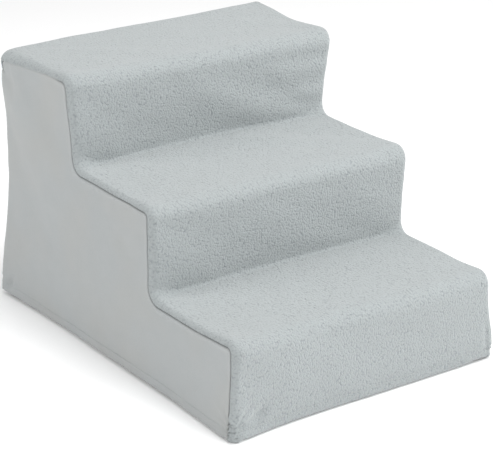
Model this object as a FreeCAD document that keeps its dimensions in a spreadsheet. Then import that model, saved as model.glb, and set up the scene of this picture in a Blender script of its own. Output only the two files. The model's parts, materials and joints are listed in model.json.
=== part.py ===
"""Three-step pet stair: a snap-together moulded plastic frame under a sewn fleece cover that lifts off.

Frame: +X to the right, +Y to the rear (the high end), +Z up, in millimetres. The origin is on the
floor, at the middle of the footprint. Every size is a cell of the sheet "dims", and each sketch and
feature is bound to those cells, so a changed cell moves all that depends on it.
"""

import FreeCAD, Part
import math
import os

import Sketcher
from FreeCAD import Placement, Rotation, Vector

# name, value in mm, what it is
SIZES = [
    ("frame_width", 342.0, "outside width of the treads"),
    ("going", 152.5, "depth of a step, nosing to nosing"),
    ("upper_going", 143.5, "depth of the upper step, nosing to the rear of the frame"),
    ("rise", 100.5, "height of one step"),
    ("fit_gap", 0.3, "clearance between moulded pieces that slide together"),
    ("foot_height", 5.0, "floor to underside of the frame"),
    ("foot_radius", 9.0, "rubber foot"),
    ("foot_stem", 3.0, "radius of the foot's stem"),
    ("foot_head", 4.2, "radius of the barb over the flange"),
    ("foot_head_height", 2.0, "height of that barb"),
    ("foot_setback", 18.0, "end of the side panel to the end feet"),
    ("tread_wall", 2.8, "wall of a tread moulding"),
    ("skirt_depth", 30.0, "depth of a tread's skirt"),
    ("nosing_radius", 12.0, "outside radius of a tread's front edge"),
    ("side_radius", 2.2, "rounding of a tread's side edges"),
    ("tread_rib_wall", 2.0, "rib under a tread"),
    ("tread_rib_depth", 15.0, "depth of that rib"),
    ("tread_rib_margin", 8.0, "riser to the first rib, and last rib to the tread's rear edge"),
    ("tongue_width", 40.0, "tongue at a tread's rear edge"),
    ("tongue_reach", 5.0, "how far a tongue passes the riser"),
    ("tongue_pitch", 105.0, "tongue to tongue"),
    ("panel_inset", 4.0, "tread's side to side panel's outside face"),
    ("panel_wall", 3.0, "side panel"),
    ("rim_wall", 2.5, "rim round the side panel"),
    ("rim_depth", 12.0, "how far that rim stands in"),
    ("flange_width", 24.0, "base flange of the side panel"),
    ("panel_rib_wall", 2.0, "rib on the side panel"),
    ("panel_rib_depth", 8.0, "how far that rib stands in"),
    ("riser_wall", 2.2, "riser and back panels"),
    ("riser_tail", 20.0, "how far a riser reaches below the tread in front of it"),
    ("riser_rib_wall", 2.0, "rib behind a riser"),
    ("riser_rib_depth", 8.0, "depth of that rib"),
    ("rib_side_margin", 8.0, "rim of the side panel to the ends of the cross ribs"),
    ("peg_radius", 3.0, "peg that locks a riser to a side panel"),
    ("peg_reach", 3.0, "how far a peg passes the rim"),
    ("peg_margin", 20.0, "peg to the end of its riser"),
    ("hook_wall", 2.5, "snap hook under a tread"),
    ("hook_width", 12.0, "width of that hook"),
    ("hook_barb", 1.5, "barb of the hook"),
    ("hook_barb_height", 4.0, "height of the barb"),
    ("hook_setback", 28.0, "nosing to the first hook, and last hook to the next nosing"),
    ("tie_width", 36.0, "cross tie"),
    ("tie_height", 25.0, "height of the cross tie"),
    ("tie_wall", 2.2, "wall of the cross tie"),
    ("tie_tab", 20.0, "tab at each end of the cross tie"),
    ("cover_gap", 0.6, "frame to the inside of the cover"),
    ("cover_wall", 3.4, "thickness of the fleece"),
    ("cover_hollow_radius", 12.0, "outside radius of the cover where a riser meets a tread"),
    ("hem_height", 2.0, "floor to the cover's hem"),
    ("back_seam_drop", 22.0, "top of the cover to the seam across its back"),
    ("strap_width", 20.0, "elastic corner strap"),
    ("strap_wall", 1.2, "thickness of the strap"),
    ("strap_height", 3.0, "floor to the underside of the strap"),
    ("strap_clearance", 4.0, "corner foot to the strap that passes inside it"),
]
STEPS = ("lower", "middle", "upper")
LAST = len(STEPS) - 1
SIDES = (("left", -1), ("right", 1))
TREAD_RIBS_ACROSS = 4
TREAD_RIBS_ALONG = 9
RISER_RIBS = 2
PANEL_RIBS_PER_STEP = 2
TONGUES = 3

doc = FreeCAD.newDocument("pet_stair")
sheet = doc.addObject("Spreadsheet::Sheet", "dims")


class Size:
    """A length with the sheet expression that it comes from, so that both stay the same."""

    def __init__(self, value, text):
        self.value, self.text = float(value), text

    def __add__(self, other):
        other = as_size(other)
        return Size(self.value + other.value, f"({self.text} + {other.text})")

    def __sub__(self, other):
        other = as_size(other)
        return Size(self.value - other.value, f"({self.text} - {other.text})")

    def __mul__(self, number):
        return Size(self.value * number, f"({self.text} * ({number}))")

    def __truediv__(self, number):
        return Size(self.value / number, f"({self.text} / ({number}))")

    def __neg__(self):
        return self * -1


def as_size(number):
    return number if isinstance(number, Size) else Size(number, f"({number})")


def fill_sheet():
    """Puts every driving size in its own cell and returns them by name."""
    found = {}
    for row, (name, value, meaning) in enumerate(SIZES, start=1):
        sheet.set(f"A{row}", name)
        sheet.set(f"B{row}", str(value))
        sheet.set(f"C{row}", meaning)
        sheet.setAlias(f"B{row}", name)
        found[name] = Size(value, f"dims.{name}")
    doc.recompute()
    return found


d = fill_sheet()

# Places that several pieces share.
half_width = d["frame_width"] / 2
half_depth = (d["going"] * LAST + d["upper_going"]) / 2
plate_front = d["nosing_radius"]  # nosing to a riser's front face, behind the rounding
panel_edge = plate_front + d["riser_wall"] + d["fit_gap"]  # nosing to a side panel's edge
panel_outside = half_width - d["panel_inset"]
panel_inside = panel_outside - d["panel_wall"]
rim_inside = panel_inside - d["rim_depth"]
rib_half_span = rim_inside - d["rib_side_margin"]
flange_top = d["foot_height"] + d["rim_wall"]


def nosing(k):
    """Y of the front of tread k. One past the last is the rear of the frame."""
    return half_depth if k > LAST else d["going"] * k - half_depth


def top(k):
    """Z of the top of tread k, and of the floor for k = -1."""
    return d["rise"] * (k + 1)


def seat(k):
    """Z of the underside of tread k, where the side panels carry it."""
    return top(k) - d["tread_wall"]


# ---------------------------------------------------------------- sketches and features


def origin_feature(body, role):
    return [f for f in body.Origin.OriginFeatures if f.Role == role][0]


def new_body(name):
    body = doc.addObject("PartDesign::Body", name)
    body.Label = name
    return body


def new_sketch(body, name, plane, start):
    """A sketch square to the x, y or z axis, at start along it."""
    role = {"x": "YZ_Plane", "y": "XZ_Plane", "z": "XY_Plane"}[plane]
    sketch = body.newObject("Sketcher::SketchObject", name)
    sketch.AttachmentSupport = (origin_feature(body, role), [""])
    sketch.MapMode = "FlatFace"
    offset = -start if plane == "y" else start  # the XZ plane faces -Y
    sketch.AttachmentOffset = Placement(Vector(0, 0, offset.value), Rotation())
    sketch.setExpression("AttachmentOffset.Base.z", offset.text)
    return sketch


def place_point(sketch, geometry, end, axis, place):
    """Ties one end of a line to a distance from the sketch's origin."""
    kind = "DistanceX" if axis == "u" else "DistanceY"
    index = sketch.addConstraint(
        Sketcher.Constraint(kind, -1, 1, geometry, end, place.value)
    )
    label = f"{axis}{index}"
    sketch.renameConstraint(index, label)
    sketch.setExpression(f"Constraints.{label}", place.text)


def add_steps(sketch, walls, radii=None):
    """A closed outline of upright and level lines. Each wall is ("u", place) or ("v", place), and
    they alternate. radii[i] rounds the corner where wall i ends."""
    radii = radii or {}
    count = len(walls)
    corners = []
    for i, (axis, place) in enumerate(walls):
        other = walls[(i + 1) % count][1]
        pair = (place.value, other.value) if axis == "u" else (other.value, place.value)
        corners.append(Vector(*pair, 0))
    ways = [(corners[i] - corners[i - 1]).normalize() for i in range(count)]
    lines = []
    for i in range(count):
        begin, end = Vector(corners[i - 1]), Vector(corners[i])
        before = (i - 1) % count
        if before in radii:
            begin += ways[i] * radii[before].value
        if i in radii:
            end -= ways[i] * radii[i].value
        lines.append(sketch.addGeometry(Part.LineSegment(begin, end), False))
    for i, (axis, place) in enumerate(walls):
        upright = "Vertical" if axis == "u" else "Horizontal"
        sketch.addConstraint(Sketcher.Constraint(upright, lines[i]))
        place_point(sketch, lines[i], 1, axis, place)
        following = lines[(i + 1) % count]
        if i not in radii:
            sketch.addConstraint(Sketcher.Constraint("Coincident", lines[i], 2, following, 1))
            continue
        way_in, way_out, radius = ways[i], ways[(i + 1) % count], radii[i]
        centre = corners[i] + (way_out - way_in) * radius.value
        first, last = centre - way_out * radius.value, centre + way_in * radius.value
        left_turn = way_in.cross(way_out).z > 0
        if not left_turn:
            first, last = last, first
        angles = [math.atan2(p.y - centre.y, p.x - centre.x) for p in (first, last)]
        circle = Part.Circle(centre, Vector(0, 0, 1), radius.value)
        arc = sketch.addGeometry(Part.ArcOfCircle(circle, *angles), False)
        near, far = (1, 2) if left_turn else (2, 1)
        sketch.addConstraint(Sketcher.Constraint("Tangent", lines[i], 2, arc, near))
        sketch.addConstraint(Sketcher.Constraint("Tangent", arc, far, following, 1))
        index = sketch.addConstraint(Sketcher.Constraint("Radius", arc, radius.value))
        sketch.renameConstraint(index, f"r{index}")
        sketch.setExpression(f"Constraints.r{index}", radius.text)


def add_polygon(sketch, points):
    """A closed outline of straight lines through points, each (u, v)."""
    places = [Vector(u.value, v.value, 0) for u, v in points]
    lines = [
        sketch.addGeometry(Part.LineSegment(a, b), False)
        for a, b in zip(places, places[1:] + places[:1])
    ]
    for i, (u, v) in enumerate(points):
        following = lines[(i + 1) % len(lines)]
        sketch.addConstraint(Sketcher.Constraint("Coincident", lines[i], 2, following, 1))
        place_point(sketch, lines[i], 1, "u", u)
        place_point(sketch, lines[i], 1, "v", v)


def add_circle(sketch, u, v, radius):
    circle = sketch.addGeometry(
        Part.Circle(Vector(u.value, v.value, 0), Vector(0, 0, 1), radius.value), False
    )
    place_point(sketch, circle, 3, "u", u)
    place_point(sketch, circle, 3, "v", v)
    index = sketch.addConstraint(Sketcher.Constraint("Radius", circle, radius.value))
    sketch.renameConstraint(index, f"r{index}")
    sketch.setExpression(f"Constraints.r{index}", radius.text)


def extrude(body, name, plane, start, depth, draw, cut=False):
    """Pads or pockets what draw(sketch) draws, from start towards + on that axis."""
    sketch = new_sketch(body, name + "_sketch", plane, start)
    draw(sketch)
    kind = "PartDesign::Pocket" if cut else "PartDesign::Pad"
    feature = body.newObject(kind, name)
    feature.Profile = sketch
    feature.Type = 0
    feature.Length = depth.value
    feature.setExpression("Length", depth.text)
    # A pad goes along the sketch's normal and a pocket against it, and the XZ plane faces -Y.
    feature.Reversed = (plane == "y") != cut
    return feature


def block(body, name, u, v, plane, start, depth, cut=False):
    """A straight block, or a rectangular cut, between u[0] and u[1], v[0] and v[1]."""
    walls = [("u", u[0]), ("v", v[1]), ("u", u[1]), ("v", v[0])]
    return extrude(body, name, plane, start, depth, lambda s: add_steps(s, walls), cut)


def repeat(body, feature, name, axis, step, count):
    """Copies a feature along an axis of the body."""
    pattern = body.newObject("PartDesign::LinearPattern", name)
    pattern.Originals = [feature]
    pattern.Direction = (origin_feature(body, f"{axis}_Axis"), [""])
    pattern.Length = step.value * (count - 1)
    pattern.setExpression("Length", (step * (count - 1)).text)
    pattern.Occurrences = count
    body.Tip = pattern
    return pattern


def mirror_sideways(body, features, name):
    """Copies features from the right half to the left half."""
    mirror = body.newObject("PartDesign::Mirrored", name)
    mirror.Originals = features
    mirror.MirrorPlane = (origin_feature(body, "YZ_Plane"), [""])
    body.Tip = mirror
    return mirror


def round_edges(body, name, radius, wanted):
    """Fillets the edges that wanted(edge) picks on the body as it stands."""
    doc.recompute()
    base = body.Tip
    picked = [f"Edge{i}" for i, e in enumerate(base.Shape.Edges, start=1) if wanted(e)]
    fillet = body.newObject("PartDesign::Fillet", name)
    fillet.Base = (base, picked)
    fillet.Radius = radius.value
    fillet.setExpression("Radius", radius.text)
    return fillet


def put(body, x, y):
    """Places a body that was made on the origin."""
    body.Placement.Base = Vector(x.value, y.value, 0)
    body.setExpression("Placement.Base.x", x.text)
    body.setExpression("Placement.Base.y", y.text)


# ---------------------------------------------------------------- treads


def tread_rear(k):
    """Y of a tread's rear edge: against the riser behind it, or the rear of the frame."""
    return nosing(k + 1) if k == LAST else nosing(k + 1) + plate_front - d["fit_gap"]


def tread_section(sketch, k):
    """The tread's plate with its front skirt, and its rear skirt on the upper tread."""
    wall, front, rear = d["tread_wall"], nosing(k), tread_rear(k)
    low, inner = top(k) - d["skirt_depth"], d["nosing_radius"] - d["tread_wall"]
    walls = [("u", front), ("v", top(k)), ("u", rear)]
    radii = {0: d["nosing_radius"]}
    if k == LAST:
        radii[1] = d["nosing_radius"]
        walls += [("v", low), ("u", rear - wall), ("v", seat(k)), ("u", front + wall), ("v", low)]
        radii[4] = radii[5] = inner
    else:
        walls += [("v", seat(k)), ("u", front + wall), ("v", low)]
        radii[3] = inner
    add_steps(sketch, walls, radii)


def tread_end(sketch, k):
    """The outline of a tread's side skirt."""
    walls = [("u", nosing(k)), ("v", top(k)), ("u", tread_rear(k)), ("v", top(k) - d["skirt_depth"])]
    radii = {0: d["nosing_radius"]}
    if k == LAST:
        radii[1] = d["nosing_radius"]
    add_steps(sketch, walls, radii)


def hook_outline(sketch, k):
    """A leg that drops through the side panel's rim, with a barb under the rim."""
    root, wall = hook_inner_face(), d["hook_wall"]
    catch = seat(k) - d["rim_wall"] - d["fit_gap"]
    tip = catch - d["hook_barb_height"]
    points = [
        (root, seat(k)),
        (root + wall, seat(k)),
        (root + wall, tip),
        (root, tip),
        (root - d["hook_barb"], catch),
        (root, catch),
    ]
    add_polygon(sketch, points)


def hook_inner_face():
    """X of the inner face of a hook's leg, centred in what the rim leaves it."""
    return rim_inside + (d["rim_depth"] - d["hook_wall"]) / 2


def hook_places(k):
    """Y of the middle of each of a tread's hooks."""
    return [nosing(k) + d["hook_setback"], nosing(k + 1) - d["hook_setback"]]


def tongue_centres():
    return [d["tongue_pitch"] * (i - (TONGUES - 1) / 2) for i in range(TONGUES)]


def make_tread(k, name):
    body = new_body("tread_" + name)
    extrude(body, "plate", "x", -half_width, d["frame_width"], lambda s: tread_section(s, k))
    end = extrude(
        body, "side_skirt", "x", half_width - d["tread_wall"], d["tread_wall"],
        lambda s: tread_end(s, k),
    )
    hooks = [
        extrude(
            body, f"hook_{i}", "y", y - d["hook_width"] / 2, d["hook_width"],
            lambda s: hook_outline(s, k),
        )
        for i, y in enumerate(hook_places(k))
    ]
    mirror_sideways(body, [end] + hooks, "left_half")
    low, high = seat(k) - d["tread_rib_depth"], seat(k)
    first = nosing(k) + panel_edge + d["tread_rib_margin"]
    last = tread_rear(k) - d["tread_rib_margin"]
    if k == LAST:
        last -= panel_edge
    half_rib = d["tread_rib_wall"] / 2
    span = (-rib_half_span, rib_half_span)
    across = block(body, "cross_rib", span, (low, high), "y", first, d["tread_rib_wall"])
    spacing = (last - first - d["tread_rib_wall"]) / (TREAD_RIBS_ACROSS - 1)
    repeat(body, across, "cross_ribs", "Y", spacing, TREAD_RIBS_ACROSS)
    along = block(
        body, "long_rib", (first, last), (low, high), "x", -rib_half_span, d["tread_rib_wall"]
    )
    spacing = (rib_half_span - half_rib) * (2 / (TREAD_RIBS_ALONG - 1))
    repeat(body, along, "long_ribs", "X", spacing, TREAD_RIBS_ALONG)
    if k < LAST:
        reach = d["fit_gap"] + d["riser_wall"] + d["tongue_reach"]
        for i, x in enumerate(tongue_centres()):
            sides = (x - d["tongue_width"] / 2, x + d["tongue_width"] / 2)
            block(body, f"tongue_{i}", sides, (seat(k), top(k)), "y", tread_rear(k), reach)

    def on_side_edge(edge):
        at = [v.Point for v in edge.Vertexes]
        outside = all(abs(abs(p.x) - half_width.value) < 1e-4 for p in at)
        skirt_low = top(k).value - d["skirt_depth"].value
        at_foot = all(abs(p.z - skirt_low) < 1e-4 for p in at)
        at_rear = all(abs(p.y - tread_rear(k).value) < 1e-4 for p in at)
        return len(at) == 2 and outside and not at_foot and not (at_rear and k < LAST)

    round_edges(body, "side_rounding", d["side_radius"], on_side_edge)
    return body


# ---------------------------------------------------------------- risers and back panel


def plate_with_pegs(body, front, tail_half, levels, facing):
    """A cross panel: its plate, stiffening ribs and the pegs that lock it to the side panels.
    levels are its foot, shoulder and head. facing is 1 where the frame lies behind it, else -1."""
    foot, shoulder, head = levels
    width = panel_outside
    walls = [("u", -width), ("v", head), ("u", width), ("v", shoulder)]
    if tail_half is not None:
        walls += [("u", tail_half), ("v", foot), ("u", -tail_half), ("v", shoulder)]
    start = front if facing > 0 else front - d["riser_wall"]
    extrude(body, "plate", "y", start, d["riser_wall"], lambda s: add_steps(s, walls))
    inner_face = front + d["riser_wall"] * facing
    gap = (head - shoulder) / (RISER_RIBS + 1)
    rib_start = inner_face if facing > 0 else inner_face - d["riser_rib_depth"]
    rib_low = shoulder + gap - d["riser_rib_wall"] / 2
    span = (-rib_half_span, rib_half_span)
    rib = block(
        body, "rib", span, (rib_low, rib_low + d["riser_rib_wall"]), "y", rib_start,
        d["riser_rib_depth"],
    )
    repeat(body, rib, "ribs", "Z", gap, RISER_RIBS)
    peg_length = d["fit_gap"] + d["rim_wall"] + d["peg_reach"]
    peg_start = inner_face if facing > 0 else inner_face - peg_length

    def pegs(sketch):
        for z in peg_levels(levels):
            add_circle(sketch, peg_x(), z, d["peg_radius"])

    made = extrude(body, "pegs", "y", peg_start, peg_length, pegs)
    mirror_sideways(body, [made], "left_pegs")


def peg_x():
    return panel_inside - d["rim_depth"] / 2


def peg_levels(levels):
    _, shoulder, head = levels
    return [shoulder + d["peg_margin"], head - d["peg_margin"]]


def riser_levels(k):
    """Foot, shoulder and head of riser k. The lowest riser has no tail under a tread."""
    head = seat(k) - d["fit_gap"]
    if k == 0:
        return d["foot_height"], d["foot_height"], head
    return seat(k - 1) - d["riser_tail"], seat(k - 1) + d["fit_gap"], head


def back_levels():
    return d["foot_height"], d["foot_height"], seat(LAST) - d["fit_gap"]


def make_riser(k, name):
    body = new_body("riser_" + name)
    tail_half = None if k == 0 else rim_inside - d["fit_gap"]
    plate_with_pegs(body, nosing(k) + plate_front, tail_half, riser_levels(k), 1)
    if k > 0:
        low, high = seat(k - 1) - d["fit_gap"], top(k - 1) + d["fit_gap"]
        half_slot = d["tongue_width"] / 2 + d["fit_gap"]
        for i, x in enumerate(tongue_centres()):
            block(
                body, f"tongue_slot_{i}", (x - half_slot, x + half_slot), (low, high), "y",
                nosing(k) + plate_front, d["riser_wall"], cut=True,
            )
    return body


def make_back_panel():
    body = new_body("back_panel")
    plate_with_pegs(body, half_depth - plate_front, None, back_levels(), -1)
    return body


# ---------------------------------------------------------------- side panels


def panel_rear():
    return half_depth - panel_edge


def stair_walls(first, inset):
    """The stepped outline of a side panel, moved in by inset, as walls for add_steps."""
    walls = []
    for k in range(len(STEPS)):
        walls += [("u", nosing(k) + panel_edge + inset), ("v", seat(k) - inset)]
    return walls + [("u", panel_rear() - inset), ("v", first + inset)]


def across(sign, near, far):
    """(start, depth) along X of what lies between two distances from the middle, on one side."""
    return (near, far - near) if sign > 0 else (-far, far - near)


def make_side_panel(name, sign):
    body = new_body("side_panel_" + name)
    base, none = d["foot_height"], as_size(0)
    start, depth = across(sign, panel_inside, panel_outside)
    extrude(body, "plate", "x", start, depth, lambda s: add_steps(s, stair_walls(base, none)))

    def ring(sketch):
        add_steps(sketch, stair_walls(base, none))
        add_steps(sketch, stair_walls(base, d["rim_wall"]))

    start, depth = across(sign, rim_inside, panel_inside)
    extrude(body, "rim", "x", start, depth, ring)
    front, rear = nosing(0) + panel_edge, panel_rear()
    start, depth = across(sign, panel_inside - d["flange_width"], panel_inside)
    block(body, "flange", (front, rear), (base, flange_top), "x", start, depth)

    start, depth = across(sign, panel_inside - d["panel_rib_depth"], panel_inside)
    half_rib = d["panel_rib_wall"] / 2
    for k in range(len(STEPS)):
        for i in range(1, PANEL_RIBS_PER_STEP + 1):
            y = nosing(k) + (nosing(k + 1) - nosing(k)) * (i / (PANEL_RIBS_PER_STEP + 1))
            sides, levels = (y - half_rib, y + half_rib), (flange_top, seat(k) - d["rim_wall"])
            block(body, f"upright_rib_{k}{i}", sides, levels, "x", start, depth)
        if k < LAST:
            sides = (nosing(k + 1) + panel_edge, rear - d["rim_wall"])
            levels = (seat(k) - d["rim_wall"], seat(k) - d["rim_wall"] + d["panel_rib_wall"])
            block(body, f"level_rib_{k}", sides, levels, "x", start, depth)

    # Openings in the rim for the treads' snap hooks.
    near = hook_inner_face() - d["fit_gap"]
    far = hook_inner_face() + d["hook_wall"] + d["hook_barb"]
    start, depth = across(sign, near, far)
    half_hole = d["hook_width"] / 2 + d["fit_gap"]
    for k in range(len(STEPS)):
        for i, y in enumerate(hook_places(k)):
            block(
                body, f"hook_hole_{k}{i}", (start, start + depth), (y - half_hole, y + half_hole),
                "z", seat(k) - d["rim_wall"], d["rim_wall"], cut=True,
            )

    # Peg holes through the upright rims.
    hole = d["peg_radius"] + d["fit_gap"] / 2
    rims = [(nosing(k) + panel_edge, riser_levels(k)) for k in range(len(STEPS))]
    rims.append((panel_rear() - d["rim_wall"], back_levels()))
    for i, (y, levels) in enumerate(rims):

        def peg_holes(sketch, levels=levels):
            for z in peg_levels(levels):
                add_circle(sketch, peg_x() * sign, z, hole)

        extrude(body, f"peg_holes_{i}", "y", y, d["rim_wall"], peg_holes, cut=True)

    # Holes in the base flange for the feet, and slots in the plate for the cross ties.
    def foot_holes(sketch):
        for _, y in foot_places():
            add_circle(sketch, foot_x() * sign, y, d["foot_stem"] + d["fit_gap"] / 2)

    extrude(body, "foot_holes", "z", base, d["rim_wall"], foot_holes, cut=True)
    half_slot = d["tie_tab"] / 2 + d["fit_gap"]
    low = flange_top + d["tie_height"] - d["tie_wall"] - d["fit_gap"]
    high = flange_top + d["tie_height"] + d["fit_gap"]
    start, depth = across(sign, panel_inside, panel_outside)
    for tie, y in tie_places():
        block(
            body, f"{tie}_slot", (y - half_slot, y + half_slot), (low, high), "x", start, depth,
            cut=True,
        )
    return body


# ---------------------------------------------------------------- feet and cross ties


def foot_x():
    return panel_inside - d["flange_width"] / 2


def foot_places():
    """Name and Y of the feet of one side."""
    return [
        ("front", nosing(0) + panel_edge + d["foot_setback"]),
        ("middle", as_size(0)),
        ("rear", panel_rear() - d["foot_setback"]),
    ]


def make_foot(name, x, y):
    """A rubber foot, turned about its own axis: pad, stem and the barb that holds it in the flange."""
    body = new_body("foot_" + name)
    sketch = new_sketch(body, "section", "y", as_size(0))
    head_top = flange_top + d["fit_gap"] + d["foot_head_height"]
    axis, stem = as_size(0), d["foot_stem"]
    walls = [
        ("u", axis), ("v", head_top), ("u", d["foot_head"]), ("v", flange_top + d["fit_gap"]),
        ("u", stem), ("v", d["foot_height"]), ("u", d["foot_radius"]), ("v", as_size(0)),
    ]
    add_steps(sketch, walls)
    turned = body.newObject("PartDesign::Revolution", "turned")
    turned.Profile = sketch
    turned.ReferenceAxis = (sketch, ["V_Axis"])
    turned.Angle = 360
    put(body, x, y)
    return body


def tie_places():
    """Name and Y of the cross ties, each below the front of a step."""
    return [("front_tie", nosing(1) + panel_edge), ("rear_tie", nosing(2) + panel_edge)]


def make_tie(name, y):
    """A channel, open below, that stands on the base flanges and locks into both side panels."""
    body = new_body(name)
    half, wall, low = d["tie_width"] / 2, d["tie_wall"], flange_top
    high = low + d["tie_height"]
    walls = [
        ("u", y - half), ("v", high), ("u", y + half), ("v", low),
        ("u", y + half - wall), ("v", high - wall), ("u", y - half + wall), ("v", low),
    ]
    reach = panel_inside - d["fit_gap"]
    extrude(body, "channel", "x", -reach, reach * 2, lambda s: add_steps(s, walls))
    sides, levels = (y - d["tie_tab"] / 2, y + d["tie_tab"] / 2), (high - wall, high)
    block(body, "tabs", sides, levels, "x", -panel_outside, panel_outside * 2)
    return body


# ---------------------------------------------------------------- cover


cover_inside = half_width + d["cover_gap"]
cover_outside = cover_inside + d["cover_wall"]
cover_top = top(LAST) + d["cover_gap"] + d["cover_wall"]
back_seam = cover_top - d["back_seam_drop"]
cover_rear = half_depth + d["cover_gap"]


def cover_front(k, out):
    return nosing(k) - d["cover_gap"] - out


def cover_level(k, out):
    return top(k) + d["cover_gap"] + out


def step_panel_outline(sketch):
    """The strip that runs up the risers, over the treads and a little way down the back."""
    wall, none = d["cover_wall"], as_size(0)
    inner_nose = d["nosing_radius"] + d["cover_gap"]
    outer_nose, inner_hollow = inner_nose + wall, d["cover_hollow_radius"] + wall
    walls, radii = [], {}

    def go(axis, place, radius=None):
        if radius is not None:
            radii[len(walls)] = radius
        walls.append((axis, place))

    for k in range(len(STEPS)):
        go("u", cover_front(k, wall), outer_nose)
        go("v", cover_level(k, wall), outer_nose if k == LAST else d["cover_hollow_radius"])
    go("u", cover_rear + wall)
    go("v", back_seam)
    go("u", cover_rear, inner_nose)
    for k in reversed(range(len(STEPS))):
        go("v", cover_level(k, none), inner_nose)
        go("u", cover_front(k, none), inner_hollow if k > 0 else None)
    go("v", d["hem_height"])
    add_steps(sketch, walls, radii)


def cover_side_outline(sketch):
    """The side of the cover: all that lies inside the strip, from the hem up."""
    none = as_size(0)
    inner_nose = d["nosing_radius"] + d["cover_gap"]
    inner_hollow = d["cover_hollow_radius"] + d["cover_wall"]
    walls, radii = [], {}
    for k in range(len(STEPS)):
        radii[len(walls)] = inner_nose
        walls.append(("u", cover_front(k, none)))
        radii[len(walls)] = inner_nose if k == LAST else inner_hollow
        walls.append(("v", cover_level(k, none)))
    walls += [("u", cover_rear), ("v", d["hem_height"])]
    add_steps(sketch, walls, radii)


def make_cover():
    strip = new_body("cover_step_panel")
    extrude(strip, "strip", "x", -cover_outside, cover_outside * 2, step_panel_outline)
    made = [strip]
    for name, sign in SIDES:
        side = new_body("cover_side_" + name)
        start, depth = across(sign, cover_inside, cover_outside)
        extrude(side, "side", "x", start, depth, cover_side_outline)
        made.append(side)
    back = new_body("cover_back")
    sides, levels = (-cover_outside, cover_outside), (d["hem_height"], back_seam)
    block(back, "back", sides, levels, "y", cover_rear, d["cover_wall"])
    return made + [back]


def make_strap(name, sign, end):
    """An elastic band across a bottom corner, from the side hem to the front or back hem."""
    body = new_body("strap_" + name)
    x = cover_inside * sign
    y = cover_front(0, as_size(0)) if end < 0 else cover_rear
    # The corner foot's distance from this corner of the cover, along X plus along Y.
    foot = (cover_inside - foot_x()) + (d["cover_gap"] + panel_edge + d["foot_setback"])
    near = foot + (d["foot_radius"] + d["strap_clearance"]) * math.sqrt(2)
    far = near + d["strap_width"] * math.sqrt(2)
    points = [(x, y - near * end), (x, y - far * end), (x - far * sign, y), (x - near * sign, y)]
    extrude(body, "band", "z", d["strap_height"], d["strap_wall"], lambda s: add_polygon(s, points))
    return body


# ---------------------------------------------------------------- the assembly


def make_all():
    parts = [make_tread(k, name) for k, name in enumerate(STEPS)]
    parts += [make_riser(k, name) for k, name in enumerate(STEPS)]
    parts.append(make_back_panel())
    parts += [make_tie(name, y) for name, y in tie_places()]
    for side, sign in SIDES:
        parts.append(make_side_panel(side, sign))
        parts += [make_foot(f"{end}_{side}", foot_x() * sign, y) for end, y in foot_places()]
        parts += [make_strap(f"{end}_{side}", sign, way) for end, way in (("front", -1), ("rear", 1))]
    return parts + make_cover()


def check(parts):
    """Stops on a failed object, a bad solid, or a cut that took nothing away."""
    for item in doc.Objects:
        if "Invalid" in item.State or "Error" in item.State:
            raise RuntimeError(f"{item.Label} failed: {item.State}")
    for body in parts:
        shape = body.Shape
        if shape.isNull() or not shape.isValid() or len(shape.Solids) != 1:
            raise RuntimeError(f"{body.Label} isn't one valid solid")
        for feature in body.Group:
            if feature.TypeId == "PartDesign::Pocket":
                before = feature.BaseFeature.Shape.Volume
                if feature.Shape.Volume > before - 1.0:
                    raise RuntimeError(f"{body.Label}.{feature.Label} cuts nothing")


parts = make_all()
doc.recompute()
check(parts)
os.makedirs("parts", exist_ok=True)
for body in parts:
    body.Shape.exportStep(f"parts/{body.Label}.step")
print(f"{len(parts)} parts written")
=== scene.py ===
"""Looks of the covered pet stair: a sewn fleece cover over a moulded plastic frame.

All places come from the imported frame. Lengths are in metres. +X is right, +Y is the rear, +Z is up.
"""

import json
import math

import bpy
import numpy as np
from mathutils import Matrix, Vector, kdtree
from mathutils.geometry import delaunay_2d_cdt


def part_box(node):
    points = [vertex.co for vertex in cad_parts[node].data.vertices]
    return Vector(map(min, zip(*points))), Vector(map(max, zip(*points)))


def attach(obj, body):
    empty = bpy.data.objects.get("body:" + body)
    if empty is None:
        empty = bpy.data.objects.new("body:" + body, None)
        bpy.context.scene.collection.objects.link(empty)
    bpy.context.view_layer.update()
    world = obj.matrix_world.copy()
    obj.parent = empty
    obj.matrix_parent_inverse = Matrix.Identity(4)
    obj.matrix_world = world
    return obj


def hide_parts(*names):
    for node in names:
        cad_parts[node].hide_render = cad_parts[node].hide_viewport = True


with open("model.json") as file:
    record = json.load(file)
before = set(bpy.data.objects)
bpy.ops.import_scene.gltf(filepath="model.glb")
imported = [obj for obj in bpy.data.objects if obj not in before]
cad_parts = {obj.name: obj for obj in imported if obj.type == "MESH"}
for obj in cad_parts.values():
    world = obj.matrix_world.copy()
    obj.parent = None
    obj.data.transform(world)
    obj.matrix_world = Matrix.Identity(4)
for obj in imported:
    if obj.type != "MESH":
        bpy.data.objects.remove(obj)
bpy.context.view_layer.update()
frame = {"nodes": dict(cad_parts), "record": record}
MM = 0.001

# ---------------------------------------------------------------- sizes

STEPS = ("lower", "middle", "upper")
TREADS = [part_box("tread_" + name) for name in STEPS]
COVER_LOW, COVER_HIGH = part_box("cover_step_panel")
HALF_WIDTH = COVER_HIGH.x  # the cover's outside half width
GAP = TREADS[0][0].y - COVER_LOW.y  # frame to the outside of the cover
HEM_Z = COVER_LOW.z
REAR_Y = COVER_HIGH.y
BACK_SEAM_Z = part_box("cover_back")[1].z
FRONTS = [low.y - GAP for low, _ in TREADS]  # outside of the cover's risers
TOPS = [high.z + GAP for _, high in TREADS]  # outside of the cover's treads
HALF_FRAME = TREADS[0][1].x
FRAME_NOSING = 12 * MM

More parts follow.
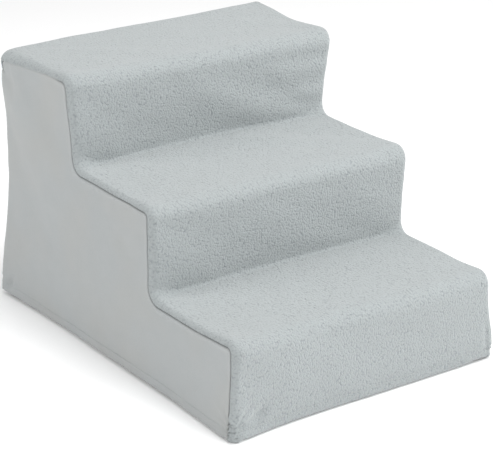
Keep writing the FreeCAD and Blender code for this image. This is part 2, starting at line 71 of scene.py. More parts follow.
CLOTH = 3.2 * MM  # thickness of the fleece
NOSING_RADIUS = 17 * MM
REAR_TOP_RADIUS = 13 * MM
NOSING_AT_SEAM = {-1: 13 * MM, 1: 17 * MM}  # the left seam pulls its nosings tighter
HOLLOW_RADIUS_SIDE = 13 * MM  # where a riser meets a tread, at the side seams
HOLLOW_RADIUS_MIDDLE = 4 * MM
HOLLOW_FADE = 34 * MM  # how far from the side the hollow becomes a sharp crease
EDGE_RADIUS_TREAD = 5.5 * MM  # rounding of the strip's side edge along a tread
EDGE_RADIUS_RISER = 7 * MM
LOOSE_EDGE = {-1: 1.5 * MM, 1: 1 * MM}  # how much rounder that edge is at the rear of the upper step
LOOSE_FROM_REAR = 30 * MM  # where it has all of that
LOOSE_CURL = {-1: 0.85, 1: 0.4}  # the share of its turn-in that the upper step's edge loses
LOOSE_CURL_FADE = 40 * MM  # from the upper step's front to where it has lost it
SEAM_DROP = 1.0 * MM  # from the end of that rounding to the seam
CURL_DEPTH = 3.4 * MM  # how far both panels turn in at a seam
CURL_WIDTH = 1.5 * MM
RIDGE_PLACE, RIDGE_WIDTH = 2.6 * MM, 1.4 * MM  # seam allowance under the side panel, from the seam
RIDGE_HEIGHT = 1.1 * MM
WRAP = 11 * MM  # how far the side panels wrap onto the back
REAR_RADIUS = EDGE_RADIUS_RISER

HEM_TURN = CLOTH + 0.15 * MM  # outside radius of the hem's fold
HEM_FOLD = 15 * MM  # height of the folded-in edge
STITCH_HEIGHT = 11.5 * MM
STITCH_GROOVE, GROOVE_WIDTH = 0.3 * MM, 1.2 * MM
STITCH_LENGTH, STITCH_PITCH = 3.0 * MM, 3.9 * MM
STITCH_PROUD, STITCH_DIVE = 0.25 * MM, 0.75 * MM  # at its middle, and from there to its ends
THREAD_RADIUS, THREAD_SIDES = 0.28 * MM, 6

FLOOR_CLEARANCE = 0.2 * MM


def smooth(a, b, value):
    """0 at a, 1 at b, and smooth between."""
    t = np.clip((np.asarray(value, float) - a) / (b - a), 0, 1)
    return t * t * (3 - 2 * t)


def bump(value, centre, width):
    """A bell of height 1."""
    return np.exp(-(((np.asarray(value, float) - centre) / width) ** 2))


def noise_field(points, size, seed):
    """Smooth noise from -1 to 1, made of waves in fixed random directions."""
    rng = np.random.default_rng(seed)
    total = np.zeros(len(points))
    waves = 14
    for _ in range(waves):
        way = rng.normal(size=3)
        way *= 2 * math.pi / size / np.linalg.norm(way) * rng.uniform(0.6, 1.4)
        total += np.sin(points @ way + rng.uniform(0, 2 * math.pi))
    return total / math.sqrt(waves) / 1.2


def turned(distance):
    """How far a panel is turned in, at this distance from its seam."""
    return CURL_DEPTH * (1 - smooth(0, CURL_WIDTH, distance)) ** 1.5


def hem_rows():
    """(height above the hem, depth inside the cover) of each row of the hem, from the folded-in edge down,
    round the fold and up past the stitches, and the index of the first row outside."""
    beside = np.array([-4.0, -1.8, -0.8, 0.0, 0.8, 1.8, 4.0]) * MM
    near = STITCH_HEIGHT + beside
    inside = [HEM_FOLD + HEM_TURN / 2, *near[::-1][1:]]
    rows = [(h, 2 * HEM_TURN - STITCH_GROOVE * bump(h, STITCH_HEIGHT, GROOVE_WIDTH)) for h in inside]
    for turn in np.linspace(0, math.pi, 9)[:-1]:
        rows.append((HEM_TURN * (1 - math.sin(turn)), HEM_TURN * (1 + math.cos(turn))))
    first_outside = len(rows)
    outside = [HEM_TURN, 5.4 * MM, *near, STITCH_HEIGHT + 6.5 * MM]
    rows += [(h, STITCH_GROOVE * bump(h, STITCH_HEIGHT, GROOVE_WIDTH)) for h in outside]
    return np.array(rows), first_outside


HEM_ROWS, FOLD_ROWS = hem_rows()
HEM_LEVELS, LEVEL_DEPTHS = HEM_ROWS[FOLD_ROWS:].T
STITCH_ROW = FOLD_ROWS + int(np.argmax(LEVEL_DEPTHS))
EDGE_GAPS = np.array([3.2, 2.0, 1.2, 0.6, 0.25, 0.0]) * MM  # rows near a seam, from the seam

# ---------------------------------------------------------------- profile of the steps


class Profile:
    """The cover's outline in the (y, z) plane, from the front hem over the steps to the seam on the back.

    Each straight run and each rounding has its own fixed number of points, so that outlines with other
    radii have the same points in the same order. levels are the heights of the first points above the
    hem, and gaps the distances of the last ones from the end."""

    def __init__(self, step, arc_points, levels=(0.0,), gaps=(0.0,)):
        self.arc_points, self.levels, self.gaps = arc_points, levels, gaps
        self.corners = []
        for k in range(len(STEPS)):
            if k:
                self.corners.append((FRONTS[k], TOPS[k - 1], False))
            self.corners.append((FRONTS[k], TOPS[k], True))
        self.corners.append((REAR_Y, TOPS[-1], True))
        self.start, self.end = np.array((FRONTS[0], HEM_Z)), np.array((REAR_Y, BACK_SEAM_Z))
        spots = [self.start, *(c[:2] for c in self.corners), self.end]
        self.runs = [max(2, round(math.dist(a, b) / step)) for a, b in zip(spots, spots[1:])]

    def along(self, i, length):
        """Distances of the points of run i from its start, without the end that the next arc starts at."""
        first, last = 0.0, length
        before, after = [], []
        if i == 0:
            *before, first = self.levels
        if i == len(self.corners):
            last = length - self.gaps[0]
            after = [length - gap for gap in self.gaps]
        return [*before, *np.linspace(first, last, self.runs[i], endpoint=False), *after]

    def points(self, hollow, nosing=NOSING_RADIUS):
        """(points, outward normals) with these radii in the hollows and on the nosings, each an array of
        (y, z)."""
        found, normals = [], []
        at, way = self.start, np.array((0.0, 1.0))
        for i, corner in enumerate([*self.corners, None]):
            side = np.array((-way[1], way[0]))
            if corner is None:
                places = self.along(i, np.linalg.norm(self.end - at))
                found += [at + way * s for s in places]
                normals += [side] * len(places)
                break
            spot, outer = np.array(corner[:2]), corner[2]
            if not outer:
                radius = hollow
            elif spot[0] == REAR_Y:
                radius = REAR_TOP_RADIUS
            else:
                radius = nosing
            way_next = np.array((way[1], -way[0])) if outer else np.array((-way[1], way[0]))
            stop = spot - way * radius
            places = self.along(i, np.linalg.norm(stop - at))
            found += [at + way * s for s in places]
            normals += [side] * len(places)
            centre = stop + way_next * radius
            for turn in np.linspace(0, math.pi / 2, self.arc_points, endpoint=False):
                out = way * math.sin(turn) - way_next * math.cos(turn)
                found.append(centre + out * radius)
                normals.append(out if outer else -out)
            at, way = centre + way * radius, way_next
        return np.array(found), np.array(normals)


PROFILE = Profile(2.8 * MM, 9, HEM_LEVELS, EDGE_GAPS)


def edge_radius(points, normals, sign):
    """Radius of the strip's side edge: small along a tread, larger down a riser and on the upper step."""
    upright = np.abs(normals[:, 0])
    looser = LOOSE_EDGE[sign] * smooth(FRONTS[-1], REAR_Y - LOOSE_FROM_REAR, points[:, 0])
    return (EDGE_RADIUS_TREAD + looser) * (1 - upright) + EDGE_RADIUS_RISER * upright


def crispness(points, normals, sign):
    """How sharply the panels turn in at the side seam: it fades along the loose edge of the upper step."""
    flat = 1 - np.abs(normals[:, 0])
    fade = smooth(FRONTS[-1], FRONTS[-1] + LOOSE_CURL_FADE, points[:, 0]) * flat
    return 1 - LOOSE_CURL[sign] * fade


# ---------------------------------------------------------------- meshes of the panels


class Panel:
    """A cut piece of the cover at rest: points, the way out at each, how far each is turned in at a seam,
    faces, and the points along the hem's stitches."""

    def __init__(self, points, out, turn, faces, stitched):
        self.points, self.out = points.reshape(-1, 3), out.reshape(-1, 3)
        self.turn, self.faces, self.stitched = turn.ravel(), faces, stitched


def make_mesh(name, points, faces):
    mesh = bpy.data.meshes.new(name)
    mesh.from_pydata([tuple(p) for p in points], [], faces)
    mesh.validate()
    mesh.shade_smooth()
    obj = bpy.data.objects.new(name, mesh)
    bpy.context.scene.collection.objects.link(obj)
    return obj


def grid_faces(index):
    """Quads over an array of vertex numbers."""
    corners = index[:-1, :-1], index[:-1, 1:], index[1:, 1:], index[1:, :-1]
    return [tuple(int(i) for i in quad) for quad in zip(*(c.ravel() for c in corners))]


def strip_columns():
    """Across the strip: (side, kind, amount) for each column from the left seam to the right one.
    kind is "curl" inside the seam, "round" on the edge's rounding, or "flat" with its own x share."""
    edge = [("curl", amount) for amount in (1.0, 0.55, 0.2, 0.0)]
    edge += [("round", amount) for amount in np.linspace(0, 1, 8)]
    fine, coarse, growth = 1.4 * MM, 3.7 * MM, 1.17
    places, x, gap = [], HALF_WIDTH - EDGE_RADIUS_RISER, fine
    while x - gap > coarse / 2:
        x -= gap
        gap = min(coarse, gap * growth)
        places.append(x)
    flat = [-p for p in places] + [0.0] + places[::-1]
    return (
        [(-1, kind, amount) for kind, amount in edge]
        + [(0, "flat", x) for x in flat]
        + [(1, kind, amount) for kind, amount in edge[::-1]]
    )


def strip_column(side, kind, amount):
    """One column of the strip: its points in space, the way out at each, and how far each is turned in."""
    sign = side or (-1 if amount < 0 else 1)
    hollow, nosing = HOLLOW_RADIUS_SIDE, NOSING_AT_SEAM[sign]
    if kind == "flat":
        far = float(smooth(EDGE_RADIUS_RISER, HOLLOW_FADE, HALF_WIDTH - abs(amount)))
        hollow += (HOLLOW_RADIUS_MIDDLE - HOLLOW_RADIUS_SIDE) * far
        nosing += (NOSING_RADIUS - nosing) * far
    places, normals = PROFILE.points(hollow, nosing)
    radius = edge_radius(places, normals, sign)
    out_x, drop = np.zeros_like(radius), np.zeros_like(radius)
    if kind == "flat":
        x = amount * (HALF_WIDTH - radius) / (HALF_WIDTH - EDGE_RADIUS_RISER)
    elif kind == "round":
        angle = amount * math.pi / 2
        x = side * (HALF_WIDTH - radius * (1 - math.cos(angle)))
        drop = radius * (1 - math.sin(angle))
        out_x += side * math.cos(angle)
    else:
        x = side * (HALF_WIDTH - CURL_DEPTH * amount * crispness(places, normals, side))
        drop = radius + SEAM_DROP * (0.25 + 0.75 * math.sqrt(amount))
        out_x += side
    places = places - normals * drop[:, None]
    across = np.sqrt(np.clip(1 - out_x**2, 0, 1))
    points = np.column_stack([x, places])
    out = np.column_stack([out_x, normals * across[:, None]])
    depth = np.zeros(len(points))
    depth[: len(LEVEL_DEPTHS)] = LEVEL_DEPTHS
    turn = np.zeros(len(points))
    if kind == "curl":
        turn += CURL_DEPTH * amount * crispness(places, normals, sign)
    depth[-len(EDGE_GAPS) :] = np.maximum(turned(EDGE_GAPS) - turn[-1], 0)
    turn[-len(EDGE_GAPS) :] = np.maximum(turn[-1], turned(EDGE_GAPS))
    fold = np.repeat(points[:1], FOLD_ROWS, axis=0)
    fold[:, 2] = HEM_Z + HEM_ROWS[:FOLD_ROWS, 0]
    fold_out = np.repeat(out[:1], FOLD_ROWS, axis=0)
    fold -= fold_out * HEM_ROWS[:FOLD_ROWS, 1:]
    turn = np.concatenate([turn[:1].repeat(FOLD_ROWS), turn])
    return np.vstack([fold, points - out * depth[:, None]]), np.vstack([fold_out, out]), turn


def strip_panel():
    """The sherpa strip that runs up the front, over the steps and down to the seam on the back."""
    kinds = strip_columns()
    points, out, turn = (np.array(part).swapaxes(0, 1) for part in zip(*(strip_column(*k) for k in kinds)))
    index = np.arange(turn.size).reshape(turn.shape)
    shown = [i for i, (_, kind, _) in enumerate(kinds) if kind != "curl"]
    return Panel(points, out, turn, grid_faces(index), index[STITCH_ROW, shown])


# Rows of a side panel below its seam.
RINGS = np.array([0.0, 0.25, 0.55, 0.95, 1.5, 2.1, 2.8, 3.6, 4.6]) * MM
SIDE_END = REAR_Y - REAR_RADIUS + REAR_RADIUS * math.pi / 2 + WRAP - REAR_RADIUS


def seam_points(sign):
    """The side seam in the (y, z) plane, its outward normals, and how crisp it is."""
    points, normals = PROFILE.points(HOLLOW_RADIUS_SIDE, NOSING_AT_SEAM[sign])
    crisp = crispness(points, normals, sign)
    drop = edge_radius(points, normals, sign) + SEAM_DROP
    return points - normals * drop[:, None], normals, crisp


def in_polygon(x, y, polygon):
    px, py = polygon.T
    qx, qy = np.roll(px, -1), np.roll(py, -1)
    crosses = (py > y) != (qy > y)
    with np.errstate(divide="ignore", invalid="ignore"):
        at = (qx - px) * (y - py) / (qy - py) + px
    return bool(np.count_nonzero(crosses & (x < at)) % 2)


def fill(outline, extra, spacing):
    """Points of a triangle lattice inside an outline, and triangles over outline, extra and lattice points.
    The triangles number the outline first, then extra, then the lattice."""
    fixed = [Vector(p) for p in [*outline, *extra]]
    tree = kdtree.KDTree(len(fixed))
    for i, p in enumerate(fixed):
        tree.insert((p.x, p.y, 0), i)
    tree.balance()
    polygon = np.array(outline)
    (x0, y0), (x1, y1) = polygon.min(axis=0), polygon.max(axis=0)
    lattice = []
    row_height = spacing * math.sqrt(3) / 2
    for row in range(int((y1 - y0) / row_height) + 1):
        y = y0 + (row + 0.5) * row_height
        for x in np.arange(x0 + (row % 2) * spacing / 2, x1, spacing):
            if in_polygon(x, y, polygon) and tree.find((x, y, 0))[2] > spacing * 0.6:
                lattice.append(Vector((x, y)))
    ring = [(i, (i + 1) % len(outline)) for i in range(len(outline))]
    found = delaunay_2d_cdt(fixed + lattice, ring, [], 1, 1e-7)
    old = [origins[0] for origins in found[3]]
    return [tuple(p) for p in lattice], [tuple(old[i] for i in face)[::-1] for face in found[2]]


def side_panel(sign):
    """A side panel. It is laid out unrolled, as (t, z): t is y as far as the rear corner, and then runs on
    round it onto the back."""
    seam, normals, crisp = seam_points(sign)
    count, rings, levels = len(seam), len(RINGS), len(HEM_LEVELS)
    ring_points = np.array([seam - normals * offset for offset in RINGS])
    ring_depth = turned(RINGS)[:, None] * crisp[None, :]
    bottom_t, bottom_turn = ring_points[:, 0, 0], ring_depth[:, 0]
    ring_depth = ring_depth + np.pad(LEVEL_DEPTHS, (0, count - levels)) - seam_ridge(seam, normals, crisp)
    points, depth = list(map(tuple, ring_points.reshape(-1, 2))), list(ring_depth.ravel())
    spacing = 3.3 * MM

    def add(t, z, turn):
        points.append((t, z))
        depth.append(turn)
        return len(points) - 1

    # The hem: its columns go on from the rings to the edge on the back.
    near_end = SIDE_END - EDGE_GAPS
    columns = round((near_end[0] - bottom_t[-1]) / spacing)
    band_t = [*np.linspace(bottom_t[-1], near_end[0], columns, endpoint=False)[1:], *near_end]
    all_t = [*bottom_t, *band_t]
    all_turn = [*bottom_turn, *turned(SIDE_END - np.array(band_t))]
    hem = np.zeros((len(HEM_ROWS), len(all_t)), int)
    for column, (t, turn) in enumerate(zip(all_t, all_turn)):
        for row, (height, inside) in enumerate(HEM_ROWS):
            if column < rings and row >= FOLD_ROWS:
                hem[row, column] = column * count + row - FOLD_ROWS
            else:
                hem[row, column] = add(t, HEM_Z + height, turn + inside)
    faces = grid_faces(hem.T)
    above = np.arange(rings * count).reshape(rings, count)[:, levels - 1 :]
    faces += grid_faces(above)

    # The rest of the panel, above the hem and inside the rings.
    outline = list(above[-1])
    end_t, end_z = points[outline[-1]]
    for t in np.linspace(end_t, SIDE_END, 5)[1:]:
        outline.append(add(t, end_z, CURL_DEPTH))
    low_z = HEM_Z + HEM_LEVELS[-1]
    edge_z = np.linspace(end_z, low_z, round((end_z - low_z) / spacing), endpoint=False)[1:]
    outline += [add(SIDE_END, z, CURL_DEPTH) for z in edge_z]
    outline += list(hem[-1, ::-1][: len(band_t)])
    extra = [add(t, z, turned(SIDE_END - t)) for t in near_end[:-1] for z in edge_z]
    lattice, triangles = fill([points[i] for i in outline], [points[i] for i in extra], spacing)
    numbers = [int(i) for i in outline + extra] + [add(t, z, 0.0) for t, z in lattice]
    faces += [tuple(numbers[i] for i in triangle) for triangle in triangles]
    turn = turned(SIDE_END - np.array(points)[:, 0])
    turn[: rings * count] = np.maximum(turn[: rings * count], (turned(RINGS)[:, None] * crisp).ravel())
    place, out = roll_side(np.array(points), np.array(depth), sign)
    if sign > 0:
        faces = [face[::-1] for face in faces]
    return Panel(place, out, turn, faces, hem[STITCH_ROW, rings // 2 :])


def seam_ridge(seam, normals, crisp):
    """Height of the ridge that the seam allowance makes under a side panel, for each of its rings. It shows
    along the treads and is lumpy."""
    lumps = noise_field(np.column_stack([np.zeros(len(seam)), seam]), *RIDGE_NOISE)
    along = (0.25 + 0.75 * (1 - np.abs(normals[:, 0]))) * crisp * (1 + 0.35 * lumps)
    return RIDGE_HEIGHT * bump(RINGS, RIDGE_PLACE, RIDGE_WIDTH)[:, None] * along[None, :]


def roll_side(points, depth, sign):
    """The unrolled side panel's points in space, and the way out at each."""
    t, z = points.T
    turn_start = REAR_Y - REAR_RADIUS
    arc = REAR_RADIUS * math.pi / 2
    angle = np.clip((t - turn_start) / arc, 0, 1) * math.pi / 2
    past = np.clip(t - turn_start - arc, 0, None)
    x = HALF_WIDTH - REAR_RADIUS * (1 - np.cos(angle)) - past
    y = np.where(t < turn_start, t, turn_start + REAR_RADIUS * np.sin(angle))
    out = np.column_stack([np.cos(angle) * sign, np.sin(angle), np.zeros_like(t)])
    return np.column_stack([x * sign, y, z]) - out * depth[:, None], out


def back_panel():
    """The cover's back, between the side panels' wraps and below the strip's end."""
    half = HALF_WIDTH - WRAP
    top = BACK_SEAM_Z
    inner = np.linspace(-half + EDGE_GAPS[0], half - EDGE_GAPS[0], 90)[1:-1]
    xs = np.array([*(-half + EDGE_GAPS[::-1]), *inner, *(half - EDGE_GAPS)])
    heights = np.linspace(HEM_LEVELS[-1], top - EDGE_GAPS[0] - HEM_Z, 74)[1:-1]
    zs = HEM_Z + np.array([*HEM_ROWS[:, 0], *heights, *(top - EDGE_GAPS - HEM_Z)])
    row_depth = np.zeros(len(zs))
    row_depth[: len(HEM_ROWS)] = HEM_ROWS[:, 1]
    row_depth[-len(EDGE_GAPS) :] = turned(EDGE_GAPS)
    turn = np.zeros((len(zs), len(xs))) + turned(half - np.abs(xs))
    grid = np.zeros((*turn.shape, 3))
    grid[..., 0] = xs
    grid[..., 1] = REAR_Y - row_depth[:, None] - turn
    grid[..., 2] = zs[:, None]
    turn[-len(EDGE_GAPS) :] = np.maximum(turn[-len(EDGE_GAPS) :], turned(EDGE_GAPS)[:, None])
    out = np.zeros_like(grid)
    out[..., 1] = 1
    index = np.arange(turn.size).reshape(turn.shape)
    faces = [face[::-1] for face in grid_faces(index)]
    return Panel(grid, out, turn, faces, index[STITCH_ROW])


# ---------------------------------------------------------------- how the cloth lies

# Where the loose cover sits off its pattern at each corner of its outline: wider, rearward, up, in mm.
EASE = [
    (FRONTS[0], HEM_Z, (3.0, -2.0, -1.6)),
    (FRONTS[0], TOPS[0], (0.0, 0.0, 0.5)),
    (FRONTS[1], TOPS[0], (0.0, -0.5, 0.5)),
    (FRONTS[1], TOPS[1], (0.5, 0.0, 0.5)),
    (FRONTS[2], TOPS[1], (-0.3, -0.5, 0.5)),
    (FRONTS[2], TOPS[2], (3.6, 0.0, 0.5)),
    (REAR_Y, TOPS[2], (2.5, 0.0, 0.5)),
    (REAR_Y, HEM_Z, (4.0, 3.5, -1.2)),
]
EASE_REACH = 48 * MM
LEFT_FRONT = np.array((-HALF_WIDTH, FRONTS[0], HEM_Z))
RIGHT_FRONT = np.array((HALF_WIDTH, FRONTS[0], HEM_Z))
LEFT_REAR = np.array((-HALF_WIDTH, REAR_Y, HEM_Z))
# Corners that hang out of line with the rest: which, the move in mm, and how far round it the move reaches.
HANGING = [
    (LEFT_FRONT, (-4.0, -4.0, 0.0), 68 * MM),
    ((-HALF_WIDTH, FRONTS[0], TOPS[0]), (0.0, -1.0, 4.5), 45 * MM),
    (RIGHT_FRONT, (7.5, 0.5, 0.0), 62 * MM),
    (LEFT_REAR, (-3.5, 5.0, 3.0), 75 * MM),
    ((-HALF_WIDTH, REAR_Y, TOPS[2]), (-4.0, 0.8, -3.6), 60 * MM),
    ((HALF_WIDTH, REAR_Y, TOPS[2]), (4.0, 0.0, 1.0), 70 * MM),
    ((HALF_WIDTH, FRONTS[2], TOPS[2]), (6.0, 0.0, 0.0), 50 * MM),
    ((HALF_WIDTH, FRONTS[1], TOPS[1]), (3.0, 0.0, 0.0), 50 * MM),
]
TWIST_LIFT = 3.2 * MM  # how high the upper step's left nosing and right rear corners stand
LEFT_PULL = 6.5 * MM  # how far forward the left ends of the risers are pulled
MIDDLE_BOW = 1.0 * MM  # how much higher the sides' hem hangs between its corners
HEM_CATCH = 2.0 * MM  # how much higher the front hem hangs beside its right corner
SIDE_PUFF = 4.2 * MM
NOSING_PUFFS, PUFF_HOLLOW = (1.2 * MM, 1.6 * MM, 2.0 * MM), 0.6 * MM  # at the nosings' ends, and behind
FOLD_HEIGHT, FOLD_PITCH = 1.0 * MM, 31 * MM  # of the soft folds on the upper riser
UNEVENNESS = 0.22 * MM
EASE_NOISE, CREASE_NOISE, RIDGE_NOISE = (0.12, 4), (0.034, 9), (12 * MM, 21)  # sizes and seeds
# Puckers that fan out from the straps' ends: height, centre, reach, and folds to a full turn.
PUCKERS = [
    (1.5 * MM, LEFT_FRONT + (0, 0, 12 * MM), 24 * MM, 13),
    (0.8 * MM, RIGHT_FRONT + (0, 0, 8 * MM), 17 * MM, 13),
    (0.8 * MM, LEFT_REAR + (0, 0, 10 * MM), 18 * MM, 11),
]
# Single creases and dimples beside the bottom corners: height, centre, way, length and width.
CREASES = [
    (-3.4 * MM, LEFT_FRONT + (14 * MM, 0, 15 * MM), (1, 0, 0.1), 9 * MM, 3.6 * MM),
    (-4.5 * MM, LEFT_FRONT + (34 * MM, 0, 22 * MM), (1, 0, 0.7), 12 * MM, 7 * MM),
    (-3.2 * MM, LEFT_REAR + (0, -21 * MM, 15 * MM), (0, -0.55, 0.8), 9 * MM, 4 * MM),
    (0.9 * MM, LEFT_REAR + (0, -30 * MM, 13 * MM), (0, -0.5, 0.8), 9 * MM, 5 * MM),
    (-1.6 * MM, RIGHT_FRONT + (-9 * MM, 0, 27 * MM), (0, 0, 1), 18 * MM, 3.5 * MM),
]


def lie(points, out):
    """Where the cover lies on the frame before it settles: its ease, the twist of the upper step, the pull
    on its left, the bow of the hem and the corners that hang out of line."""
    x, y, z = points.T
    weights = np.array([bump(np.hypot(y - cy, z - cz), 0, EASE_REACH) for cy, cz, _ in EASE])
    weights /= weights.sum(axis=0) + 0.15
    wider, back, up = (weights.T @ np.array([ease for _, _, ease in EASE]) * MM).T
    share = x / HALF_WIDTH
    moved = points.copy()
    moved[:, 0] += share**3 * wider
    moved[:, 1] += back
    moved[:, 2] += up
    # The upper step is twisted: its left nosing and right rear corners stand high.
    high = smooth(TOPS[1] + 40 * MM, TOPS[2], z)
    twist = 1 - 2 * smooth(FRONTS[2], REAR_Y, y)
    moved[:, 2] += high * TWIST_LIFT * smooth(-0.3, 1.2, -share * twist)
    # The left ends of the risers are pulled forward.
    moved[:, 1] -= LEFT_PULL * smooth(0.1, 1.0, -share) * smooth(REAR_Y, FRONTS[2], y)
    # The hem hangs higher between the corners.
    low = smooth(70 * MM, 0, z)
    moved[:, 2] += low * MIDDLE_BOW * smooth(0.75, 1.0, np.abs(share)) * bump(y, -10 * MM, 120 * MM)
    # The front hem is caught up just inside its right corner.
    moved[:, 2] += HEM_CATCH * crease(points, RIGHT_FRONT - (20 * MM, 0, 0), (1, 0, 0), 15 * MM, 26 * MM)
    for corner, move, reach in HANGING:
        near = bump(np.linalg.norm(points - np.array(corner), axis=1), 0, reach)
        moved += near[:, None] * np.array(move) * MM
    ease = 0.35 * MM + 0.5 * MM * np.abs(out[:, 0])
    return moved + out * (noise_field(points, *EASE_NOISE) * ease)[:, None]


def crease(points, centre, way, length, width):
    """A bell that is long in one direction: 1 at its centre."""
    way = np.array(way, float) / np.linalg.norm(way)
    offset = points - np.array(centre)
    run = offset @ way
    across = np.linalg.norm(offset - run[:, None] * way, axis=1)
    return np.exp(-((run / length) ** 2) - (across / width) ** 2)


def creases(points, out):
    """How far each point stands out because of the creases, dimples and puffs that the cover shows."""
    x, y, z = points.T
    facing_side = np.abs(out[:, 0])
    moved = noise_field(points, *CREASE_NOISE) * UNEVENNESS
    # The ends of the nosings are puffed up behind, where the seam lets the fleece stand.
    for front, top, height in zip(FRONTS, TOPS, NOSING_PUFFS):
        for sign in (-1, 1):
            end = (sign * (HALF_WIDTH - 8 * MM), front + 16 * MM, top - 4 * MM)
            moved += height * crease(points, end, (0, 1, -0.4), 20 * MM, 14 * MM)
            behind = (sign * HALF_WIDTH, front + 52 * MM, top)
            moved -= PUFF_HOLLOW * crease(points, behind, (0, 1, 0), 22 * MM, 10 * MM)
    # Soft level folds at the right end of the upper riser.
    right = smooth(60 * MM, HALF_WIDTH, x) * (1 - facing_side)
    on_riser = bump(y, FRONTS[2], 12 * MM) * smooth(TOPS[1] + 8 * MM, TOPS[1] + 30 * MM, z)
    folds = np.sin((z - TOPS[1]) * 2 * math.pi / FOLD_PITCH + 0.9 + x * 9)
    moved += FOLD_HEIGHT * right * on_riser * smooth(TOPS[2] - 8 * MM, TOPS[2] - 30 * MM, z) * folds
    for height, centre, reach, count in PUCKERS:
        moved += height * puckers(points, centre, reach, count)
    for height, *shape in CREASES:
        moved += height * crease(points, *shape)
    # The right side stands out past its seam above the front corner.
    place = RIGHT_FRONT + (0, 13 * MM, 26 * MM)
    return moved + SIDE_PUFF * facing_side * crease(points, place, (0, 0, 1), 17 * MM, 13 * MM)


def puckers(points, centre, reach, count):
    """Folds that fan out from a point, shorter and finer near it."""
    offset = points - centre
    distance = np.linalg.norm(offset, axis=1)
    angle = np.arctan2(offset[:, 2], offset[:, 1] - offset[:, 0] * np.sign(centre[0]))
    return np.sin(angle * count) * smooth(0, 6 * MM, distance) * np.exp(-((distance / reach) ** 2))


# ---------------------------------------------------------------- the cover settles, by cloth simulation

DRAPE_SPACING = 9 * MM
DRAPE_FRAMES = 45
STRAP_PULL, PULL_REACH = 2 * MM, 60 * MM  # how far the straps draw in the corners of the hem
EACH_WAY = 0.7  # the share of that pull along x, and along y
PIN_REACH = 12 * MM
FORM_BASE = 8 * MM
SETTLED_SHARE = 0.4  # how much of the simulated movement the cover takes


def frame_form():
    """The frame's outer form, for the cloth to land on."""
    spots = [(FRONTS[0] + GAP, FORM_BASE)]
    for k, top in enumerate(TOPS):
        front, high = FRONTS[k] + GAP, top - GAP
        for turn in np.linspace(0, math.pi / 2, 5):
            y = front + FRAME_NOSING * (1 - math.cos(turn))
            spots.append((y, high - FRAME_NOSING * (1 - math.sin(turn))))
        spots.append((FRONTS[k + 1] + GAP if k + 1 < len(STEPS) else REAR_Y - GAP, high))
    spots.append((REAR_Y - GAP, FORM_BASE))
    count = len(spots)
    points = [(sign * HALF_FRAME, y, z) for sign in (-1, 1) for y, z in spots]
    faces = [tuple(range(count)), tuple(range(2 * count - 1, count - 1, -1))]
    faces += [(i, i + count, (i + 1) % count + count, (i + 1) % count) for i in range(count)]
    return make_mesh("drape_form", points, faces)


def drape_shell():
    """A coarse copy of the cover in one piece: its rest points, the way out at each, and its faces."""
    profile, normals = Profile(DRAPE_SPACING, 4).points(HOLLOW_RADIUS_SIDE)
    down = np.arange(BACK_SEAM_Z - DRAPE_SPACING, HEM_Z, -DRAPE_SPACING)
    belt = np.vstack([profile, [(REAR_Y, z) for z in [*down, HEM_Z]]])
    belt_out = np.vstack([normals, [(1.0, 0.0)] * (len(down) + 1)])
    xs = np.linspace(-HALF_WIDTH, HALF_WIDTH, round(2 * HALF_WIDTH / DRAPE_SPACING))
    points = [(x, y, z) for y, z in belt for x in xs]
    out = [(0.0, ny, nz) for ny, nz in belt_out for _ in xs]
    index = np.arange(len(points)).reshape(len(belt), len(xs))
    faces = grid_faces(index)
    bottom_y = np.arange(REAR_Y - DRAPE_SPACING, FRONTS[0] + DRAPE_SPACING / 2, -DRAPE_SPACING)
    outline = [*map(tuple, belt), *((y, HEM_Z) for y in bottom_y)]
    lattice, triangles = fill(outline, [], DRAPE_SPACING)
    for edge, sign in ((0, -1), (len(xs) - 1, 1)):
        numbers = list(index[:, edge])
        for y, z in [*outline[len(belt) :], *lattice]:
            numbers.append(len(points))
            points.append((sign * HALF_WIDTH, y, z))
            out.append((sign, 0.0, 0.0))
        faces += [tuple(int(numbers[i]) for i in (face if sign < 0 else face[::-1])) for face in triangles]
    return np.array(points), np.array(out, float), faces


class Settling:
    """How far the settled cloth has moved, at any point of the cover's rest shape."""

    NEIGHBOURS, REACH = 10, 7.5 * MM

    def __init__(self, rest, moves):
        self.moves = moves * SETTLED_SHARE
        self.tree = kdtree.KDTree(len(rest))
        for i, p in enumerate(rest):
            self.tree.insert(p, i)
        self.tree.balance()

    def at(self, points):
        found = np.zeros((len(points), 3))
        if not self.moves.any():
            return found
        for i, p in enumerate(points):
            near = self.tree.find_n(p, self.NEIGHBOURS)
            weights = np.array([math.exp(-((hit[2] / self.REACH) ** 2)) + 1e-9 for hit in near])
            found[i] = weights @ self.moves[[hit[1] for hit in near]] / weights.sum()
        return found


